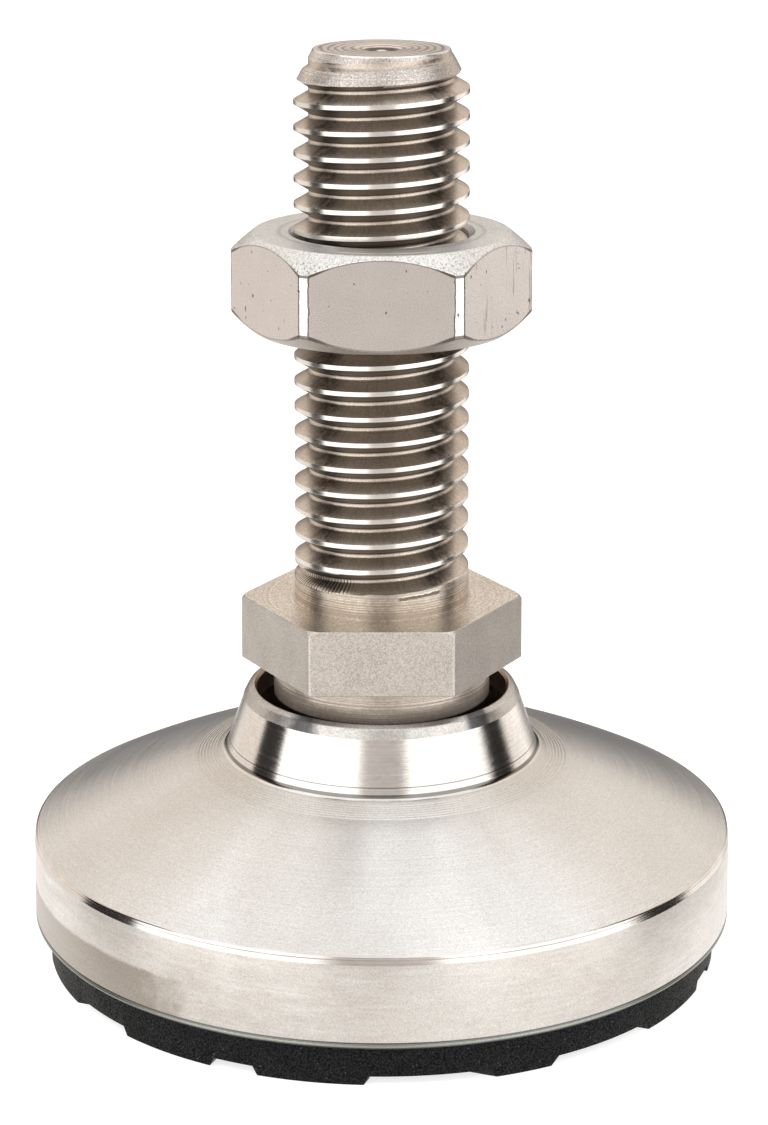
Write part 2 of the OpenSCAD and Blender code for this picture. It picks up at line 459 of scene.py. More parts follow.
def band_shade_and_marks(g, place, colour):
    """A brownish patch of painted shade on the lower half of the rim band at the left, paler smears, and the
    turned edge.
    """
    wave = g.noise(place.vector, 0.25, 3.0, 0.6)
    height = g.calc("MULTIPLY_ADD", wave, 0.6, place.z)
    side = g.calc("MULTIPLY_ADD", wave, 24.0, place.azimuth)
    # painted shade: a brownish patch low on the band at the left
    marks_and_painted_light = g.scale(g.ramp(height, 8.1, 7.7), g.between(side, -125, -22, 6))
    colour = g.paint(colour, (0.34, 0.295, 0.255), marks_and_painted_light, 0.9)
    smear = g.noise(g.around(place, 2.9, g.scale(place.z, 0.9)), 2.0, 4.0, 0.65)
    smear = g.scale(g.ramp(smear, 0.46, 0.72), g.calc("SUBTRACT", 0.35, g.scale(marks_and_painted_light, 0.35)))
    colour = g.paint(colour, (0.80, 0.80, 0.79), smear)
    # the turned edge above the rubber is grey between two dark lines
    edge = g.ramp(place.z, BASE_LOW.z + 0.66, BASE_LOW.z + 0.58)
    colour = g.paint(colour, (0.25, 0.27, 0.25), edge, 0.8)
    upper = g.between(place.z, BASE_LOW.z + 0.56, BASE_LOW.z + 0.68, 0.03)
    lower = g.ramp(place.z, BASE_LOW.z + 0.24, BASE_LOW.z + 0.16)
    return g.paint(colour, BLACK, g.calc("MAXIMUM", upper, lower), 0.85)


def dome_painted_reflections(g, place, colour):
    """Painted reflections: pale and beige sectors that fan out from the neck. The dome is duller beside the neck,
    and painted shade makes it duller at the sides.
    """
    fan = g.noise(g.around(place, 1.7, g.scale(place.radius, 0.02)), 1.0, 3.0, 0.55)
    away = g.calc("ABSOLUTE", place.azimuth)
    # painted reflections in the sectors that fan out
    colour = g.paint(colour, (0.48, 0.44, 0.40), g.ramp(fan, 0.60, 0.36), 0.45)
    # painted shade at the sides
    colour = g.paint(colour, (0.46, 0.43, 0.40), g.ramp(away, 22, 58), 0.42)
    colour = g.paint(colour, (0.46, 0.42, 0.37), g.ramp(place.radius, 19.5, 15.5), 0.35)
    # painted shade: dark and bluish towards the back
    back = g.scale(g.ramp(away, 80, 130), g.between(place.radius, 17, 30, 3))
    return g.paint(colour, (0.22, 0.23, 0.25), back, 0.55)


def neck_lines(g, place, colour):
    """Two thin dark lines at the foot of the polished cone."""
    line = g.between(place.z, CONE_FOOT_Z + 0.62, CONE_FOOT_Z + 0.70, 0.03)
    foot = g.between(place.z, CONE_FOOT_Z - 0.2, CONE_FOOT_Z + 0.10, 0.03)
    return g.paint(colour, (0.10, 0.09, 0.08), g.calc("MAXIMUM", line, foot), 0.8)


def lip_card_reflections_and_edge(g, place, colour):
    """Two blurred dark patches, painted reflections of the dark cards, on the left and on the right of the lip,
    and its brown inner edge.
    """
    wander = g.calc("MULTIPLY_ADD", g.noise(place.vector, 0.6, 2.0, 0.5), 8.0, -4.0)
    wave = g.calc("ADD", place.azimuth, wander)
    # painted reflections of the dark cards
    patches = g.calc("ADD", g.between(wave, -41, -29, 3), g.between(wave, 38, 50, 3))
    colour = g.paint(colour, (0.07, 0.07, 0.075), patches, 0.9)
    edge = g.ramp(place.radius, OPENING_R + LIP_EDGE + 0.12, OPENING_R + LIP_EDGE)
    return g.paint(colour, (0.50, 0.36, 0.25), edge, 0.85)


def end_marks(g, place, colour):
    """Turned rings on the stud's end, its pale rim, and the dark ring round its bright centre mark."""
    wander = g.calc("MULTIPLY_ADD", g.noise(place.vector, 0.5, 2.0, 0.5), 0.8, place.radius)
    rings = g.ramp(g.calc("SINE", g.scale(wander, math.tau / 0.72)), -0.1, 0.8)
    colour = g.paint(colour, (0.20, 0.16, 0.13), rings, 0.75)
    colour = g.paint(colour, (0.86, 0.84, 0.81), g.ramp(place.radius, END_R - 0.45, END_R - 0.2), 0.7)
    colour = g.paint(colour, (0.09, 0.07, 0.06), g.between(place.radius, 0.45, 1.65, 0.08), 0.95)
    return g.paint(colour, (0.95, 0.93, 0.90), g.ramp(place.radius, 0.5, 0.4))


def neck_shadow(g, place, colour):
    """Painted shade on the part of the stud's neck that stands inside the lip."""
    return g.paint(colour, (0.015, 0.012, 0.010), g.ramp(place.z, 24.05, 23.85))


def chatter(g, place):
    """Slanting strokes of the threading tool on the left of the run-out: 1 where they are dark."""
    slant = g.calc("MULTIPLY_ADD", place.z, 3.0, g.scale(place.azimuth, 2.3))
    stroke = g.ramp(g.calc("SINE", slant), -0.2, 0.6)
    climb = g.calc("MULTIPLY_ADD", place.azimuth, -PITCH / 360, place.z)
    length = g.calc("MULTIPLY_ADD", g.noise(g.scale(place.azimuth, 0.5), 1.0, 2.0, 0.6, "1D"), 0.8, climb)
    band = g.between(length, CHATTER_LOW, CHATTER_HIGH, 0.08)
    fade = g.between(place.azimuth, -80, -22, 6)
    return g.scale(stroke, g.scale(band, fade))


def thread_shade_and_chatter(g, place, colour):
    """Painted shade: the faces of the thread that look down, and the corners of its grooves, are dark. So are
    patches on the left and on the right, painted reflections of the dark cards, and fine strokes run down
    the flanks. A painted highlight runs along the roots, and the threading tool's chatter is dark."""
    level = add(g.tree, "SeparateXYZ", {0: add(g.tree, "NewGeometry").outputs["Normal"]}).outputs[2]
    strokes = g.noise(g.around(place, 28.0, g.scale(place.z, 0.8)), 1.0, 2.0, 0.6)
    # painted reflections of the dark cards on the left and on the right
    patches = g.between(g.calc("ABSOLUTE", place.azimuth), 33, 56, 8)
    mottle = g.ramp(g.noise(place.vector, 1.5, 3.0, 0.7), 0.35, 0.60, 0.3, 0.8)
    shade = g.calc("MULTIPLY_ADD", patches, mottle, g.scale(g.ramp(strokes, 0.55, 0.30), 0.15))
    colour = g.paint(colour, (0.12, 0.10, 0.085), shade)
    root = g.between(place.radius, ROOT_R - 0.1, ROOT_R + 0.025, 0.015)
    corner = g.between(place.radius, ROOT_R + 0.05, ROOT_R + 0.30, 0.05)
    # painted shade on the faces that look down and in the corners of the grooves
    dark = g.calc("MAXIMUM", g.ramp(level, -0.15, -0.55), g.scale(corner, 0.25))
    colour = g.paint(colour, (0.09, 0.075, 0.06), dark, 0.9)
    # a painted highlight along the roots
    colour = g.paint(colour, (0.54, 0.48, 0.42), root, 0.8)
    return g.paint(colour, (0.05, 0.04, 0.035), chatter(g, place), 0.85)


def side_flats_painted_shade(g, place, colour):
    """Painted shade: the hexagon's flats beside the front one are duller, the right one more so."""
    # painted shade on the flats at the sides
    left = g.ramp(place.azimuth, -29, -31, 0.0, 0.17)
    right = g.ramp(place.azimuth, 29, 31, 0.0, 0.26)
    value = g.calc("SUBTRACT", g.calc("SUBTRACT", 1.0, left), right)
    return add(g.tree, "HueSaturation", {"Color": colour, "Value": value}).outputs[0]


def shank_marks_and_highlight(g, place, colour):
    """Chatter on the left of the run-out, and a short ragged scratch on the right, with a painted highlight
    along its upper edge.
    """
    climb = g.calc("MULTIPLY_ADD", place.azimuth, -0.008, place.z)
    ragged = g.calc("MULTIPLY_ADD", g.noise(place.vector, 2.5, 2.0, 0.6), 0.25, climb)
    reach = g.between(place.azimuth, 11, 41, 2)
    # a painted highlight along the scratch's upper edge
    gleam = g.scale(g.between(ragged, GLEAM_LOW, GLEAM_HIGH, 0.03), reach)
    scratch = g.scale(g.between(ragged, SCRATCH_LOW, SCRATCH_HIGH, 0.04), reach)
    colour = g.paint(colour, (0.95, 0.93, 0.90), gleam, 0.5)
    return g.paint(colour, (0.10, 0.08, 0.07), g.calc("MAXIMUM", chatter(g, place), scratch), 0.85)


def nut_marks(g, place, colour):
    """A few small pits and, on the right, upright scratches on the nut's flats. Its corner strips are
    bright, and thin dark lines run along them and along the chamfers."""
    pits = g.ramp(g.noise(place.vector, 1.6, 1.0, 0.4), 0.735, 0.755)
    spread = g.combine(g.scale(place.x, 2.6), g.scale(place.y, 2.6), g.scale(place.z, 0.16))
    scratches = g.ramp(g.noise(spread, 1.0, 2.0, 0.5), 0.61, 0.66)
    scratches = g.scale(scratches, g.between(place.azimuth, 34, 88, 4))
    # how far the point is inside the cones of the chamfers
    inward = g.calc("SUBTRACT", place.radius, NUT_FACE_R)
    upper = g.calc("SUBTRACT", NUT_HIGH.z, g.calc("MULTIPLY_ADD", inward, NUT_UPPER, place.z))
    lower = g.calc("SUBTRACT", g.calc("MULTIPLY_ADD", inward, -NUT_LOWER, place.z), NUT_LOW.z)
    ragged = g.calc("MULTIPLY_ADD", g.noise(place.vector, 0.9, 3.0, 0.6), 1.2, -0.6)
    from_corner = g.calc("ABSOLUTE", g.calc("SUBTRACT", g.calc("FLOORED_MODULO", place.azimuth, 60.0), 30.0))
    from_corner = g.calc("ADD", from_corner, ragged)
    thicker = g.ramp(from_corner, 11, 3, 0.0, 0.16)
    rims = g.ramp(g.calc("SUBTRACT", g.calc("MINIMUM", upper, lower), thicker), 0.20, 0.10)
    strip = 30 - math.degrees(math.acos(NUT_APOTHEM / NUT_CORNER_R))
    colour = g.paint(colour, (0.84, 0.83, 0.81), g.ramp(from_corner, strip + 0.05, strip - 0.05))
    marks = g.calc("MAXIMUM", pits, g.scale(scratches, 0.6))
    marks = g.calc("MAXIMUM", marks, g.scale(rims, g.ramp(from_corner, 16, 4, 0.6, 1.0)))
    marks = g.calc("MAXIMUM", marks, g.between(from_corner, strip, strip + 0.5, 0.12))
    return g.paint(colour, (0.07, 0.055, 0.045), marks, 0.85)


def chamfer_marks_and_reflections(g, place, colour):
    """Rough scratches on the nut's faces, and a painted reflection of the thread: a faint ring round its bore
    and, in front of that, a brown patch with a painted highlight as a bright line. The lower face is darker."""
    scratch = g.noise(g.combine(g.scale(place.x, 4.2), g.scale(place.y, 4.2), 0.0), 1.0, 5.0, 0.75)
    edge = g.ramp(place.radius, NUT_FACE_R - 1.2, NUT_CORNER_R)
    scratched = g.scale(g.ramp(scratch, 0.52, 0.62), g.calc("ADD", edge, 0.05))
    colour = g.paint(colour, (0.14, 0.125, 0.11), scratched)
    # painted reflection of the thread: a faint ring round the bore and a brown patch in front
    ring = g.between(place.radius, SINK_R + 0.6, SINK_R + 1.0, 0.15)
    colour = g.paint(colour, (0.24, 0.20, 0.16), ring, 0.35)
    front = g.ramp(g.calc("ABSOLUTE", place.azimuth), 34, 18)
    brown = g.scale(g.ramp(place.radius, NUT_FACE_R - 0.2, NUT_FACE_R - 0.4), front)
    colour = g.paint(colour, BROWN, brown, 0.5)
    # painted highlight: a bright line in front
    bright = g.scale(g.between(place.radius, NUT_FACE_R - 1.1, NUT_FACE_R - 0.75, 0.12), front)
    colour = g.paint(colour, PALE, bright, 0.8)
    # darker towards the bottom
    lower = g.ramp(place.z, NUT_LOW.z + 2.4, NUT_LOW.z + 1.2)
    return g.paint(colour, (0.26, 0.21, 0.17), lower, 0.75)


def rubber(name):
    """Moulded black rubber with fine dust."""
    made, g = material(name)
    place = Place(g)
    skin = g.noise(place.vector, 6.0, 4.0, 0.6)
    patch = g.noise(place.vector, 0.4, 3.0, 0.5)
    dust = g.ramp(g.noise(place.vector, 5.0, 1.0, 0.5), 0.70, 0.78)
    colour = g.paint((0.003, 0.003, 0.0033), (0.14, 0.14, 0.14), dust, 0.5)
    inputs = {
        "Base Color": colour,
        "Roughness": g.calc("MULTIPLY_ADD", patch, 0.2, 0.45),
        "Specular IOR Level": g.ramp(g.noise(place.vector, 7.0, 1.0, 0.6), 0.32, 0.72, 0.02, 0.30),
        "Normal": g.bump(skin, 0.05),
    }
    surface(g, inputs)
    return made


# --------------------------------------------------------------------------------------------------
# Pieces
# --------------------------------------------------------------------------------------------------


def place_piece(piece, node, body):
    """Sets a piece in the place of a CAD node."""
    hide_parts(node)
    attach(piece, body)


def make_base():
    band, dome, neck, lip, socket = range(5)
    # the domed top starts where the shoulder's round has its slope, on a circle whose centre lies below
    rim_r = BASE_R - SHOULDER_IN - SHOULDER_R * (1 - math.sin(RIM_SLOPE))
    centre_r = rim_r - DOME_R * math.sin(RIM_SLOPE)
    centre_z = SHOULDER_Z + (SHOULDER_R - DOME_R) * math.cos(RIM_SLOPE)

    def dome_z(radius):
        return centre_z + math.sqrt(DOME_R**2 - (radius - centre_r) ** 2)

    under = PAD_HIGH.z
    solid = Solid(even_columns(320))
    corners = [
        (0, under, 0, socket),
        (PAD_R + PAD_GAP, under, 0, socket),
        (PAD_R + PAD_GAP, BASE_LOW.z, 0.1, band),
        (BASE_R - EDGE_CHAMFER, BASE_LOW.z, 0.1, band),
        (BASE_R, BASE_LOW.z + EDGE_CHAMFER, 0.12, band),
    ]
    # fine turned lines above the lower edge, and a shoulder of two small rounds
    for rise, depth in EDGE_LINES:
        z = BASE_LOW.z + rise
        corners += [
            (BASE_R, z - 0.08, 0, band),
            (BASE_R - depth, z, 0, band),
            (BASE_R, z + 0.08, 0, band),
        ]
    corners += [
        (BASE_R, BAND_TOP - 0.1, 0.15, neck),
        (BASE_R - 0.11, SHOULDER_Z - 0.1, 0, neck),
        (BASE_R - 0.17, SHOULDER_Z - 0.06, 0, neck),
        (BASE_R - SHOULDER_IN, SHOULDER_Z, 0, neck),
    ]
    for turn in np.linspace(0, math.pi / 2 - RIM_SLOPE, 6)[1:]:
        corners.append((
            BASE_R - SHOULDER_IN - SHOULDER_R * (1 - math.cos(turn)),
            SHOULDER_Z + SHOULDER_R * math.sin(turn),
            0,
            neck,
        ))
    corners.append((rim_r - HOLD, dome_z(rim_r - HOLD), 0, dome))
    for radius in np.linspace(rim_r, NECK_FOOT_R + 2.8, 22)[1:]:
        corners.append((radius, dome_z(radius), 0, dome))
    for ring in NECK_RINGS:
        middle = NECK_FOOT_R + ring
        corners += [
            (middle + HOLD, dome_z(middle + HOLD), 0, dome),
            (middle, dome_z(middle) - RING_DEPTH, 0, dome),
            (middle - HOLD, dome_z(middle - HOLD), 0, dome),
        ]
    corners += [
        (NECK_FOOT_R, dome_z(NECK_FOOT_R), 0.55, neck),
        (CREASE_R, CREASE_Z, 0.05, lip),
        (CREASE_R - 0.42, CREASE_Z + 0.80, 0.3, lip),
        (OPENING_R + LIP_EDGE, BASE_HIGH.z, 0.12, lip),
        (OPENING_R, BASE_HIGH.z - LIP_DROP, 0.1, lip),
        (OPENING_R, BASE_HIGH.z - 2.2, 0, socket),
        (OPENING_R, RING_GROOVE_Z + RING_GROOVE_HALF, 0, socket),
        (RING_GROOVE_R, RING_GROOVE_Z + RING_GROOVE_HALF, 0.5, socket),
        (RING_GROOVE_R, RING_GROOVE_Z - RING_GROOVE_HALF, 0.5, socket),
        (OPENING_R, RING_GROOVE_Z - RING_GROOVE_HALF, 0, socket),
        (OPENING_R, BALL_Z, 0, socket),
    ]
    for tilt in np.linspace(0, math.asin((BALL_Z - SEAT_FLOOR) / SEAT_R), 14):
        corners.append((SEAT_R * math.cos(tilt), BALL_Z - SEAT_R * math.sin(tilt), 0, socket))
    corners.append((0, SEAT_FLOOR, 0, socket))
    solid.path(*corners)
    piece = solid.build("turned_base", [
        turned_steel("band_steel", "z", (0.71, 0.68, 0.645), (0.58, 0.54, 0.50), 0.36, 0.25, 0.004,
                     marks_and_painted_light=band_shade_and_marks, grit=0.6),
        turned_steel("dome_steel", "radius", (0.70, 0.69, 0.675), (0.62, 0.61, 0.595), 0.32, 0.24, 0.014,
                     anisotropy=0.6, rings=0.5, marks_and_painted_light=dome_painted_reflections, metal=0.75, grit=0.7),
        turned_steel("neck_steel", "z", (0.80, 0.77, 0.74), (0.62, 0.59, 0.56), 0.14, 0.10, 0.012,
                     rings=0.35, marks_and_painted_light=neck_lines),
        turned_steel("lip_steel", "radius", (0.60, 0.575, 0.55), (0.42, 0.40, 0.38), 0.36, 0.16, 0.006,
                     marks_and_painted_light=lip_card_reflections_and_edge, grit=1.0),
        turned_steel("socket_steel", "z", (0.24, 0.19, 0.15), (0.14, 0.11, 0.08), 0.38, 0.3, 0.006),
    ])
    place_piece(piece, "base", "foot")


def make_pad():
    """A rubber disc with a block tread cut into its underside."""
    solid = Solid(even_columns(240))
    solid.path(
        (0, PAD_LOW.z, 0, 0),
        (PAD_R - 6, PAD_LOW.z, 0, 0),
        (PAD_R, PAD_LOW.z, 0.12, 0),
        (PAD_R, TREAD_DEPTH, 0, 0),
        (PAD_R, BASE_LOW.z - 0.35, 0, 0),
        (PAD_R, PAD_HIGH.z, 0.1, 0),
        (0, PAD_HIGH.z, 0, 0),
    )
    piece = solid.build("non_skid_pad", [rubber("black_rubber")])
    bars = bpy.data.meshes.new("tread_bars")
    work = bmesh.new()
    reach = int(PAD_R / TREAD_PITCH) + 2
    length = 3 * PAD_R
    for turn in (TREAD_ANGLE, TREAD_ANGLE + math.pi / 2):
        for row in range(-reach, reach + 1):
            offset = TREAD_START + row * TREAD_PITCH + TREAD_GROOVE / 2
            made = bmesh.ops.create_cube(work, size=1)["verts"]
            bmesh.ops.scale(work, vec=(TREAD_GROOVE, length, 2 * TREAD_DEPTH), verts=made)
            lowest = [v for v in made if v.co.z < 0]
            bmesh.ops.scale(work, vec=(TREAD_DRAFT, 1, 1), verts=lowest)
            bmesh.ops.translate(work, vec=(offset, 0, 0), verts=made)
            bmesh.ops.rotate(work, matrix=Matrix.Rotation(turn, 3, "Z"), verts=made)
    bmesh.ops.scale(work, vec=(MM, MM, MM), verts=work.verts)
    work.to_mesh(bars)
    work.free()
    cutter = bpy.data.objects.new("tread_bars", bars)
    bpy.context.scene.collection.objects.link(cutter)
    cut = piece.modifiers.new("tread", "BOOLEAN")
    cut.operation = "DIFFERENCE"
    cut.solver = "EXACT"
    cut.use_self = True
    cut.object = cutter
    bevel = piece.modifiers.new("edges", "BEVEL")
    bevel.width = 0.1 * MM
    bevel.segments = 2
    bevel.limit_method = "ANGLE"
    bevel.angle_limit = math.radians(40)
    apply_modifiers(piece)
    bpy.data.objects.remove(cutter)
    place_piece(piece, "rubber_pad", "foot")


def apply_modifiers(piece):
    graph = bpy.context.evaluated_depsgraph_get()
    mesh = bpy.data.meshes.new_from_object(piece.evaluated_get(graph), depsgraph=graph)
    piece.modifiers.clear()
    piece.data = mesh
    mesh.shade_smooth()
    mesh.set_sharp_from_angle(angle=math.radians(35))


def thread_offsets():
    """Places of the thread's rows within a pitch, from the middle of one groove to that of the next."""
    crest_edge = CREST / 2 / PITCH
    root_edge = crest_edge + THREAD_DEPTH * math.tan(FLANK) / PITCH
    edge = 0.012
    half = np.concatenate([
        crest_edge + edge * np.array([-1.4, 0, 1.4]),
        np.linspace(crest_edge + 4 * edge, root_edge - 3 * edge, 4),
        np.linspace(root_edge - edge, 0.5, 4),
    ])
    return np.concatenate([-half[::-1][1:], half])


def thread_cut(height, columns):
    """How deep the thread is cut below its crests, at heights above each column."""
    turns = (height - THREAD_PHASE) / PITCH - columns / math.tau
    groove = np.floor(turns) + 0.5
    from_crest = 0.5 - np.abs(turns - groove)
    flank = (from_crest * PITCH - CREST / 2) / math.tan(FLANK)
    return smooth_max(smooth_min(flank, THREAD_DEPTH, 0.12), 0, 0.015) - 0.004, groove


def thread_heights(low, high, columns):
    """Heights of the thread's rows above each column, with a turn to spare at each end."""
    offsets = thread_offsets()
    first = math.floor((low - THREAD_PHASE) / PITCH) - 2
    last = math.ceil((high - THREAD_PHASE) / PITCH) + 2
    rows = np.concatenate([turn + offsets for turn in range(first, last)])
    heights = THREAD_PHASE + PITCH * (rows[:, None] + columns[None, :] / math.tau)
    return heights, len(offsets)


def thread_slots(rows, crest, flank):
    """The material of the faces after each row: crest on the flat crests, and flank elsewhere."""
    offsets = thread_offsets()
    middle = (offsets + np.roll(offsets, -1)) / 2
    middle[-1] = 0.5
    each = np.where(np.abs(middle) < CREST / 2 / PITCH, crest, flank)
    return np.tile(each, rows // len(offsets) + 1)[: rows - 1]


def make_stud():
    flank, crest, chamfer, end, top, shank, flat, neck, ball = range(9)
    columns = hex_columns(HEX_APOTHEM, HEX_CORNER_R)
    solid = Solid(columns)
    hex_r = hex_radius(columns, HEX_APOTHEM, HEX_CORNER_R)
    hex_top = HEX_Z + HEX_H
    # only the corners reach past the round end face, and they are chamfered at 45 degrees
    face_r = np.minimum(hex_r - 0.06, HEX_FACE_R)
    drop = hex_r - face_r
    corners = [(0, BALL_FLAT, 0, ball)]
    lowest = math.asin((BALL_FLAT - BALL_Z) / BALL_R)
    highest = math.acos(STUD_NECK_R / BALL_R)
    for tilt in np.linspace(lowest, highest, 22):
        corners.append((BALL_R * math.cos(tilt), BALL_Z + BALL_R * math.sin(tilt), 0, ball))
    corners += [
        (STUD_NECK_R, BALL_Z + BALL_R * math.sin(highest) + 0.5, 0, neck),
        (STUD_NECK_R, HEX_Z, 0.12, flat),
        (hex_r, HEX_Z, 0.1, flat),
        (hex_r, hex_top - drop, 0.03, flat),
        (face_r, hex_top, 0.03, top),
        (SHANK_R, hex_top, 0, shank),
        (SHANK_R, hex_top + 0.5, 0, shank),
        (SHANK_R, THREAD_LOW, 0, shank),
    ]
    solid.path(*corners)

    # the thread, cut down at its upper end and fading out above the shank
    edge_z = TOP_Z - 0.12
    height, climb = thread_heights(THREAD_LOW, edge_z, columns)
    height = np.clip(height, THREAD_LOW, edge_z)
    cut, groove = thread_cut(height, columns)
    groove_z = THREAD_PHASE + PITCH * (groove + columns / math.tau)
    faded = THREAD_DEPTH * (1 - smooth_step(RUNOUT_LOW, RUNOUT_HIGH, groove_z))
    cut = np.maximum(cut - faded, 0)
    # the first groove is scored into the chamfer too, less and less towards the end face
    scored = SCORE_DEPTH * smooth_step(0.55 * THREAD_DEPTH, THREAD_DEPTH, cut)
    scored = scored * smooth_step(0.15, 0.6, TOP_Z - height)
    cone = END_R + (TOP_Z - height) * END_SLOPE - scored
    crest_r = THREAD_R + (SHANK_R - THREAD_R) * smooth_step(RUNOUT_HIGH, RUNOUT_LOW, height)
    radius = smooth_min(crest_r - cut, cone, 0.03)
    radius[height <= THREAD_LOW] = SHANK_R
    radius[height >= edge_z] = END_R + (TOP_Z - edge_z) * END_SLOPE
    on_cone = (crest_r - cut > cone - 0.04) & (scored < 0.09)
    on_shank = (height < RUNOUT_HIGH) & (cut < 0.3)
    slots = np.where(on_cone[1:], chamfer, thread_slots(len(height), crest, flank)[:, None])
    slots = np.where(on_shank[1:], shank, slots)
    solid.grid(radius, height, slots, climb)

    solid.path(
        (END_R + (TOP_Z - edge_z) * END_SLOPE, edge_z, 0, end),
        (END_R, TOP_Z, 0.1, end),
        (4.2, TOP_Z - 0.015, 0, end),
        (2.3, TOP_Z - 0.02, 0, end),
        (1.75, TOP_Z - 0.10, 0.2, end),
        (1.25, TOP_Z - 0.42, 0.15, end),
        (0.75, TOP_Z - 0.30, 0.1, end),
        (0.35, TOP_Z - 0.22, 0.1, end),
        (0, TOP_Z - 0.24, 0, end),
    )
    piece = solid.build("ball_ended_stud", [
        turned_steel("flank_steel", "z", (0.68, 0.60, 0.52), (0.55, 0.47, 0.40), 0.38, 0.20, 0.003,
                     anisotropy=0.0, marks_and_painted_light=thread_shade_and_chatter, mirrored=False, grit=0.9),
        turned_steel("crest_steel", "z", (0.78, 0.76, 0.73), (0.68, 0.64, 0.60), 0.20, 0.30, 0.002,
                     anisotropy=0.0, mirrored=False),
        turned_steel("chamfer_steel", "z", (0.82, 0.79, 0.76), (0.50, 0.46, 0.43), 0.42, 0.11, 0.020,
                     anisotropy=0.0, rings=0.7, mirrored=False, grit=1.6),
        turned_steel("end_steel", "radius", (0.96, 0.90, 0.84), (0.78, 0.72, 0.66), 0.30, 0.55, 0.025,
                     rings=1.0, marks_and_painted_light=end_marks, mirrored=False, grit=0.9),
        turned_steel("hex_top_steel", "radius", (0.78, 0.72, 0.65), (0.58, 0.52, 0.46), 0.34, 0.24, 0.010,
                     rings=0.6, mirrored=False, grit=1.6),
        turned_steel("shank_steel", "z", (0.86, 0.80, 0.71), (0.43, 0.37, 0.31), 0.30, 0.18, 0.014,
                     rings=1.0, marks_and_painted_light=shank_marks_and_highlight, mirrored=False, grit=0.6),
        milled_steel("frosted_steel", (0.70, 0.65, 0.60), (0.42, 0.38, 0.34), 0.40, 0.12, 0.012, side_flats_painted_shade),
        turned_steel("stud_neck_steel", "z", (0.68, 0.62, 0.56), (0.40, 0.34, 0.29), 0.30, 0.16, 0.012,
                     rings=0.8, marks_and_painted_light=neck_shadow, metal=0.75, grit=0.6),
        turned_steel("ball_steel", "z", (0.72, 0.69, 0.65), (0.62, 0.58, 0.54), 0.16, 0.25, 0.002),
    ])
    place_piece(piece, "threaded_stud", "stud")


def make_nut():
    flat, chamfer, inner = range(3)
    columns = hex_columns(NUT_APOTHEM, NUT_CORNER_R)
    solid = Solid(columns)
    hex_r = hex_radius(columns, NUT_APOTHEM, NUT_CORNER_R)
    low, high = NUT_LOW.z, NUT_HIGH.z
    low_drop = (hex_r - NUT_FACE_R) * NUT_LOWER
    high_drop = (hex_r - NUT_FACE_R) * NUT_UPPER
    solid.path(
        (SINK_R, low, 0, chamfer),
        (NUT_FACE_R, low, 0.2, chamfer),
        (hex_r, low + low_drop, 0.12, flat),
        (hex_r, high - high_drop, 0.12, chamfer),
        (NUT_FACE_R, high, 0.3, chamfer),
        (SINK_R, high, 0, chamfer),
    )
    height, climb = thread_heights(low, high, columns)
    height = np.clip(height, low, high)
    cut, _ = thread_cut(height, columns)
    bore = THREAD_R + 0.1 - np.minimum(cut, THREAD_DEPTH - 0.25)
    sink = SINK_R - np.minimum(height - low, high - height) / SINK_SLOPE
    radius = smooth_max(bore, sink, 0.03)
    radius[(height <= low) | (height >= high)] = SINK_R
    slots = np.where((sink > bore)[1:] & (sink > bore)[:-1], chamfer, inner)
    solid.grid(radius, height, slots, climb)
    piece = solid.build("jam_nut_visual", [
        milled_steel("nut_flat_steel", (0.69, 0.64, 0.61), (0.55, 0.50, 0.47), 0.28, 0.10, 0.008, nut_marks),
        milled_steel("nut_face_steel", (0.72, 0.71, 0.695), (0.44, 0.43, 0.41), 0.40, 0.15, 0.022,
                     chamfer_marks_and_reflections, metal=0.7),
        # painted shade: the thread inside the nut has a dark tint for its deep bore
        turned_steel("nut_thread_steel", "z", (0.14, 0.12, 0.10), (0.09, 0.075, 0.06), 0.30, 0.30, 0.004,
                     anisotropy=0.0, mirrored=False),
    ])
    place_piece(piece, "jam_nut", "nut")


def finish_ring():
    """The retaining ring keeps its CAD mesh."""
    ring = frame["nodes"]["retaining_ring"]
    wire = turned_steel("spring_wire", "z", (0.62, 0.62, 0.63), (0.45, 0.45, 0.46), 0.3, 0.3, 0.004, 0.0)
    ring.data.materials.clear()
    ring.data.materials.append(wire)


# --------------------------------------------------------------------------------------------------
# Studio
# --------------------------------------------------------------------------------------------------


